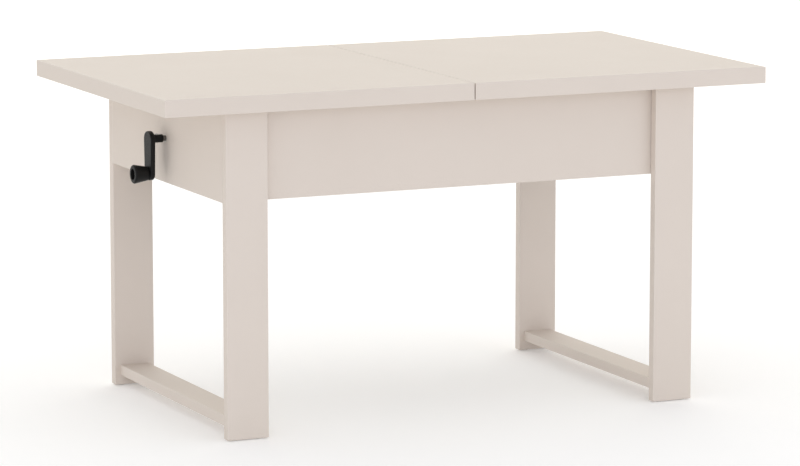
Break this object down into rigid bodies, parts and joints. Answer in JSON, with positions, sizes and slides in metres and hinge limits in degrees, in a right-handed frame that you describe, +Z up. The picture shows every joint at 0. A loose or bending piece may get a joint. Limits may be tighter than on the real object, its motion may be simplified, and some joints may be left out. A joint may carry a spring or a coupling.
{
  "type": "extendable coffee table",
  "caption": "Four-legged coffee table whose split top slides apart over a stored leaf and whose upper box is raised to dining height by a hand crank on one end panel.",
  "frame": {"origin": "on the floor, under the middle of the closed top", "axes": "+X along the length with the crank at the -X end, +Y from front to back, +Z up"},
  "size_m": [1.2, 0.67, 0.628],
  "materials": {
    "laminate": "matt",
    "black_plastic": "satin",
    "zinc": "satin",
    "black_steel": "satin",
    "painted_steel": "satin",
    "aluminium": "satin",
    "brass": "satin",
    "nylon": "matt",
    "beech": "matt"
  },
  "bodies": {
    "base": {"leg_front_left": "laminate", "leg_back_left": "laminate", "leg_front_right": "laminate", "leg_back_right": "laminate", "end_panel_left": "laminate", "end_panel_right": "laminate", "stretcher_left": "laminate", "stretcher_right": "laminate", "foot_glides": "nylon", "shaft_bushes": "nylon", "crank_bush": "nylon", "frame_dowels": "beech", "cam_fittings": "zinc", "rail_screws": "zinc", "bearing_plates": "zinc", "guide_outer_members": "zinc", "frame_rail_front": "painted_steel", "frame_rail_back": "painted_steel", "cross_ties": "painted_steel", "screw_pedestals": "painted_steel"},
    "crank": {"crank_set_screw": "zinc", "lead_screw": "black_steel", "thrust_collars": "black_steel", "crank_knob_pin": "black_steel", "crank_arm": "black_plastic"},
    "knob": {"crank_knob": "black_plastic"},
    "nut_left": {"screw_nut_left": "brass"},
    "nut_right": {"screw_nut_right": "brass"},
    "arms_left": {"lift_arm_front_left": "painted_steel", "lift_arm_back_left": "painted_steel", "slotted_levers_left": "painted_steel", "torsion_shaft_left": "zinc", "roller_pins_left": "zinc"},
    "arms_right": {"lift_arm_front_right": "painted_steel", "lift_arm_back_right": "painted_steel", "slotted_levers_right": "painted_steel", "torsion_shaft_right": "zinc", "roller_pins_right": "zinc"},
    "wheel_front_left": {"roller_front_left": "nylon"},
    "wheel_back_left": {"roller_back_left": "nylon"},
    "wheel_front_right": {"roller_front_right": "nylon"},
    "wheel_back_right": {"roller_back_right": "nylon"},
    "guide_middles": {"guide_middle_members": "zinc"},
    "box": {"apron_front": "laminate", "apron_back": "laminate", "box_end_left": "laminate", "box_end_right": "laminate", "stored_leaf": "laminate", "leaf_bearers": "beech", "leaf_dowels": "beech", "slide_channel_front": "aluminium", "slide_channel_back": "aluminium", "roller_channels": "zinc", "corner_brackets": "zinc", "guide_inner_members": "zinc"},
    "top_left": {"top_half_left": "laminate", "runners_left": "aluminium", "seam_dowels": "beech"},
    "top_right": {"top_half_right": "laminate", "runners_right": "aluminium"}
  },
  "joints": [
    {"name": "lift", "type": "slide", "parent": "base", "child": "box", "axis": [0, 0, 1], "range_m": [0, 0.13]},
    {"name": "crank_turn", "type": "hinge", "parent": "base", "child": "crank", "pos_m": [-0.47, 0, 0.513], "axis": [1, 0, 0], "range_deg": [0, 3240]},
    {"name": "knob_spin", "type": "hinge", "parent": "crank", "child": "knob", "pos_m": [-0.52, 0, 0.4495], "axis": [1, 0, 0], "continuous": true},
    {"name": "nut_left_slide", "type": "slide", "parent": "base", "child": "nut_left", "axis": [-1, 0, 0], "range_m": [0, 0.027]},
    {"name": "nut_right_slide", "type": "slide", "parent": "base", "child": "nut_right", "axis": [1, 0, 0], "range_m": [0, 0.027]},
    {"name": "arms_left_swing", "type": "hinge", "parent": "base", "child": "arms_left", "pos_m": [-0.095, 0, 0.538], "axis": [0, 1, 0], "range_deg": [0, 25.03]},
    {"name": "arms_right_swing", "type": "hinge", "parent": "base", "child": "arms_right", "pos_m": [0.095, 0, 0.538], "axis": [0, -1, 0], "range_deg": [0, 25.03]},
    {"name": "guides_slide", "type": "slide", "parent": "base", "child": "guide_middles", "axis": [0, 0, 1], "range_m": [0, 0.065]},
    {"name": "wheel_front_left_spin", "type": "hinge", "parent": "arms_left", "child": "wheel_front_left", "pos_m": [-0.38788, -0.248, 0.473], "axis": [0, 1, 0], "continuous": true},
    {"name": "wheel_back_left_spin", "type": "hinge", "parent": "arms_left", "child": "wheel_back_left", "pos_m": [-0.38788, 0.248, 0.473], "axis": [0, 1, 0], "continuous": true},
    {"name": "wheel_front_right_spin", "type": "hinge", "parent": "arms_right", "child": "wheel_front_right", "pos_m": [0.38788, -0.248, 0.473], "axis": [0, 1, 0], "continuous": true},
    {"name": "wheel_back_right_spin", "type": "hinge", "parent": "arms_right", "child": "wheel_back_right", "pos_m": [0.38788, 0.248, 0.473], "axis": [0, 1, 0], "continuous": true},
    {"name": "top_left_slide", "type": "slide", "parent": "box", "child": "top_left", "axis": [-1, 0, 0], "range_m": [0, 0.2]},
    {"name": "top_right_slide", "type": "slide", "parent": "box", "child": "top_right", "axis": [1, 0, 0], "range_m": [0, 0.2]}
  ],
  "couplings": [
    {"joint": "crank_turn", "follows": "lift", "rad_per_m": 434.98},
    {"joint": "nut_left_slide", "follows": "lift", "ratio": 0.20769},
    {"joint": "nut_right_slide", "follows": "lift", "ratio": 0.20769},
    {"joint": "arms_left_swing", "follows": "lift", "rad_per_m": 3.36},
    {"joint": "arms_right_swing", "follows": "lift", "rad_per_m": 3.36},
    {"joint": "guides_slide", "follows": "lift", "ratio": 0.5}
  ]
}
